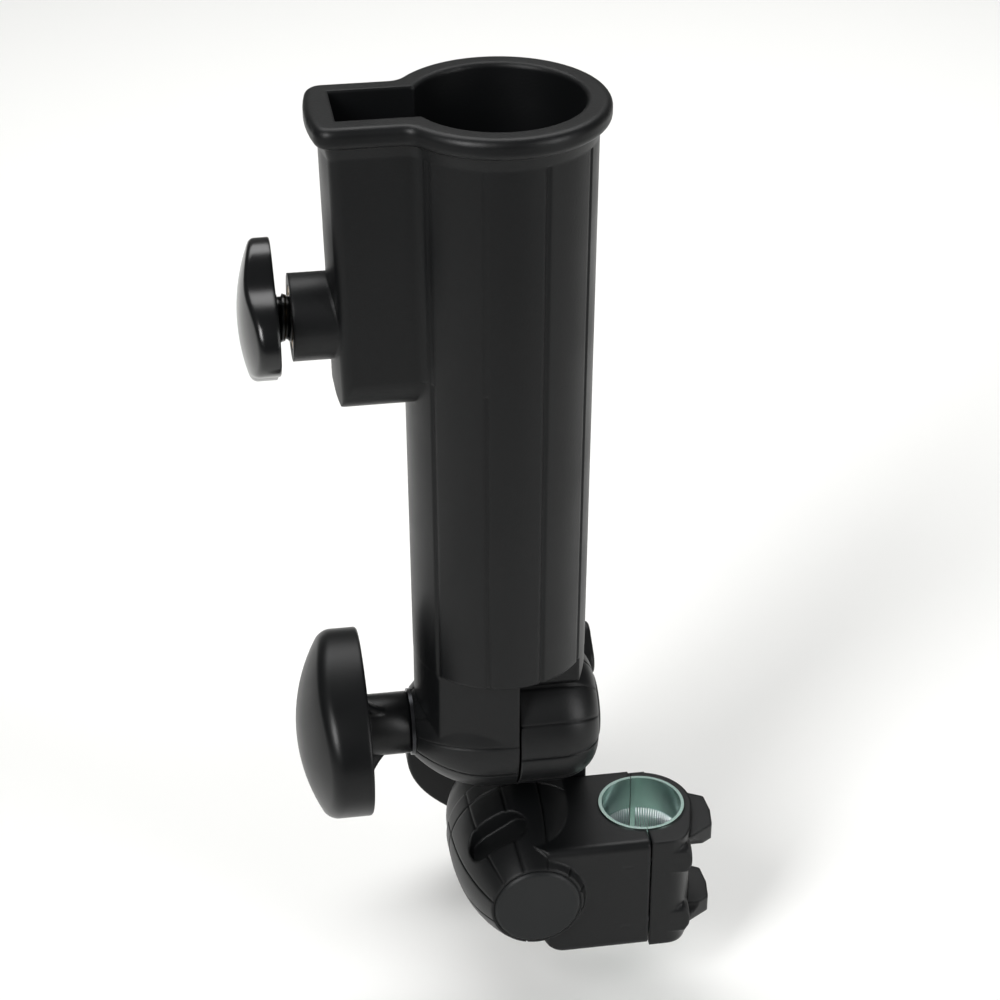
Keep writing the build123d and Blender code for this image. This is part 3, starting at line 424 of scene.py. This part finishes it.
def grown(name, tree, values):
    """Evaluates a Geometry Nodes tree with named values and returns the plain mesh."""
    work = bpy.data.objects.new(name + "_work", bpy.data.meshes.new(name + "_seed"))
    bpy.context.scene.collection.objects.link(work)
    modifier = work.modifiers.new("tree", "NODES")
    modifier.node_group = tree
    for item in tree.interface.items_tree:
        if item.in_out == "INPUT" and item.name in values:
            modifier[item.identifier] = values[item.name]
    return evaluated(work)


# %% Grow the stud
stud_low, stud_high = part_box("rod_screw")
STUD_R, STUD_PITCH, STUD_ROOT = 7.0 * MM, 2.4 * MM, 6.1 * MM
STUD_TIP, STUD_INSET = 3.6 * MM, 0.3 * MM     # unthreaded tip, and the gap at the knob's end
stud = grown("rod_stud", thread_tree(), {
    "Crest Radius": STUD_R, "Root Radius": STUD_ROOT, "Pitch": STUD_PITCH,
    "Length": stud_high[0] - stud_low[0] - STUD_TIP, "Material": KNOB_GLOSS})
stud_start = Vector((stud_low[0] + STUD_INSET, ROD_AXIS.y, ROD_AXIS.z))
stud.transform(carried(stud_start, (1, 0, 0), (0, 0, 1)))
settled("rod_stud", stud, "rod_knob", "knob_nylon", KNOB_GLOSS, "rod_screw")

# %% [markdown]
# ## Grip band inside the sleeve
# Both halves of the zinc sleeve carry a band of fine straight ribs that bite on the rail. Ribs
# that repeat round an arc are instances on the points of that arc, so each half is one short
# tree: an arc, its points, one slim bar turned to face the axis.

# %% Rib tree
def rib_tree():
    """Geometry Nodes group: slim bars round part of a circle about Z."""
    tree = bpy.data.node_groups.new("grip ribs", "GeometryNodeTree")
    tree.interface.new_socket("Geometry", in_out="OUTPUT", socket_type="NodeSocketGeometry")
    for label in ("Radius", "Start Angle", "Sweep Angle", "Rib Width", "Rib Depth", "Rib Height"):
        tree.interface.new_socket(label, in_out="INPUT", socket_type="NodeSocketFloat")
    tree.interface.new_socket("Count", in_out="INPUT", socket_type="NodeSocketInt")
    tree.interface.new_socket("Material", in_out="INPUT", socket_type="NodeSocketMaterial")
    given = node(tree, "NodeGroupInput").outputs
    arc = node(tree, "GeometryNodeCurveArc", {"Resolution": given["Count"], "Radius": given["Radius"],
               "Start Angle": given["Start Angle"], "Sweep Angle": given["Sweep Angle"]}).outputs["Curve"]
    points = node(tree, "GeometryNodeCurveToPoints", {"Curve": arc, "Count": given["Count"]}, mode="COUNT")
    size = node(tree, "ShaderNodeCombineXYZ", {"X": given["Rib Depth"], "Y": given["Rib Width"],
                "Z": given["Rib Height"]}).outputs[0]
    bar = node(tree, "GeometryNodeMeshCube", {"Size": size}).outputs["Mesh"]
    facing = node(tree, "FunctionNodeAlignRotationToVector", {"Vector": points.outputs["Tangent"]},
                  axis="Y", pivot_axis="Z").outputs[0]
    ribs = node(tree, "GeometryNodeInstanceOnPoints", {"Points": points.outputs["Points"], "Instance": bar,
                "Rotation": facing}).outputs[0]
    real = node(tree, "GeometryNodeRealizeInstances", {"Geometry": ribs}).outputs[0]
    painted = node(tree, "GeometryNodeSetMaterial", {"Geometry": real,
                   "Material": given["Material"]}).outputs[0]
    node(tree, "NodeGroupOutput", {"Geometry": painted})
    return tree


# %% Ribs of both halves
RAIL_R, RIB_COUNT, END_GAP = 12.7 * MM, 46, radians(6)
RIB_W, RIB_DEEP, RIB_TALL = 0.45 * MM, 0.7 * MM, 18 * MM
for label, start, body in (("body", pi / 2, "clamp"), ("cap", -pi / 2, "cap")):
    ribs = grown(f"sleeve_{label}_ribs", rib_tree(), {
        "Radius": RAIL_R, "Start Angle": start + END_GAP, "Sweep Angle": pi - 2 * END_GAP,
        "Rib Width": RIB_W, "Rib Depth": RIB_DEEP, "Rib Height": RIB_TALL, "Count": RIB_COUNT,
        "Material": BRIGHT_ZINC})
    settled(f"sleeve_{label}_ribs", ribs, body, "zinc_sleeve", BRIGHT_ZINC)

# %% [markdown]
# ## Room, light and camera
# A pale sheet that curves up behind the part, two large soft boxes and a soft fill.

# %% Floor
SWEEP_FRONT, SWEEP_HALF, SWEEP_R, SWEEP_STEPS = 4.0, 5.0, 1.0, 12


def sweep_sheet(name, y_back, z_floor, colour):
    """Floor with a rounded rise at the back, like a photographer's paper roll."""
    bm = bmesh.new()
    path = [(-SWEEP_FRONT, z_floor), (y_back, z_floor)]
    path += [(y_back + SWEEP_R * sin(a), z_floor + SWEEP_R * (1 - cos(a)))
             for a in [i * pi / 2 / SWEEP_STEPS for i in range(1, SWEEP_STEPS + 1)]]
    path.append((y_back + SWEEP_R, z_floor + SWEEP_HALF))
    rows = [[bm.verts.new((x, y, z)) for x in (-SWEEP_HALF, SWEEP_HALF)] for y, z in path]
    for a, b in zip(rows, rows[1:]):
        bm.faces.new((a[0], a[1], b[1], b[0]))
    mesh = bpy.data.meshes.new(name)
    bm.to_mesh(mesh)
    bm.free()
    for face in mesh.polygons:
        face.use_smooth = True
    sheet = bpy.data.objects.new(name, mesh)
    bpy.context.scene.collection.objects.link(sheet)
    mat = bpy.data.materials.new(name)
    mat.use_nodes = True
    mat.node_tree.nodes["Principled BSDF"].inputs["Base Color"].default_value = srgb(colour)
    mat.node_tree.nodes["Principled BSDF"].inputs["Roughness"].default_value = 0.9
    mesh.materials.append(mat)


low, high = CAD_BOX
FLOOR_GAP, SWEEP_BACK = 20 * MM, 1.6
sweep_sheet("paper sweep", SWEEP_BACK, low[2] - FLOOR_GAP, "#f4f4f2")
print("floor", round(low[2] - FLOOR_GAP, 4))


# %% Lights
def soft_box(name, place, target, size, watts, spread=180):
    """Rectangular area light that faces a target point."""
    data = bpy.data.lights.new(name, "AREA")
    data.shape = "RECTANGLE"
    data.size, data.size_y = size
    data.energy = watts
    data.spread = radians(spread)
    lamp = bpy.data.objects.new(name, data)
    lamp.location = place
    lamp.rotation_euler = (Vector(target) - Vector(place)).to_track_quat("-Z", "Y").to_euler()
    bpy.context.scene.collection.objects.link(lamp)


MIDDLE = Vector([(a + b) / 2 for a, b in zip(low, high)])
soft_box("key left", (-0.9, -0.9, 1.0), MIDDLE, (0.4, 0.9), 3.2, 70)
soft_box("fill right", (0.9, -0.8, 0.5), MIDDLE, (0.25, 1.0), 1.4, 70)
soft_box("top back", (0.1, 0.75, 1.3), (0.1, 0.6, 0), (1.6, 0.8), 9.5, 120)
world = bpy.data.worlds.new("studio")
world.use_nodes = True
world.node_tree.nodes["Background"].inputs["Color"].default_value = srgb("#ffffff")
world.node_tree.nodes["Background"].inputs["Strength"].default_value = 0.12
bpy.context.scene.world = world
bpy.context.scene.view_settings.view_transform = "Standard"

# %% Camera
CAMERA_PLACE = Vector((-146.5, -636.1, 528.5)) * MM
AIM = Vector((0.1338, 0.8449, -0.518))
LENS_MM, SENSOR_MM = 92.16, 36.0
cam_data = bpy.data.cameras.new("camera")
cam_data.lens, cam_data.sensor_width = LENS_MM, SENSOR_MM
camera = bpy.data.objects.new("camera", cam_data)
camera.location = CAMERA_PLACE
camera.rotation_euler = AIM.to_track_quat("-Z", "Y").to_euler()
bpy.context.scene.collection.objects.link(camera)
bpy.context.scene.camera = camera
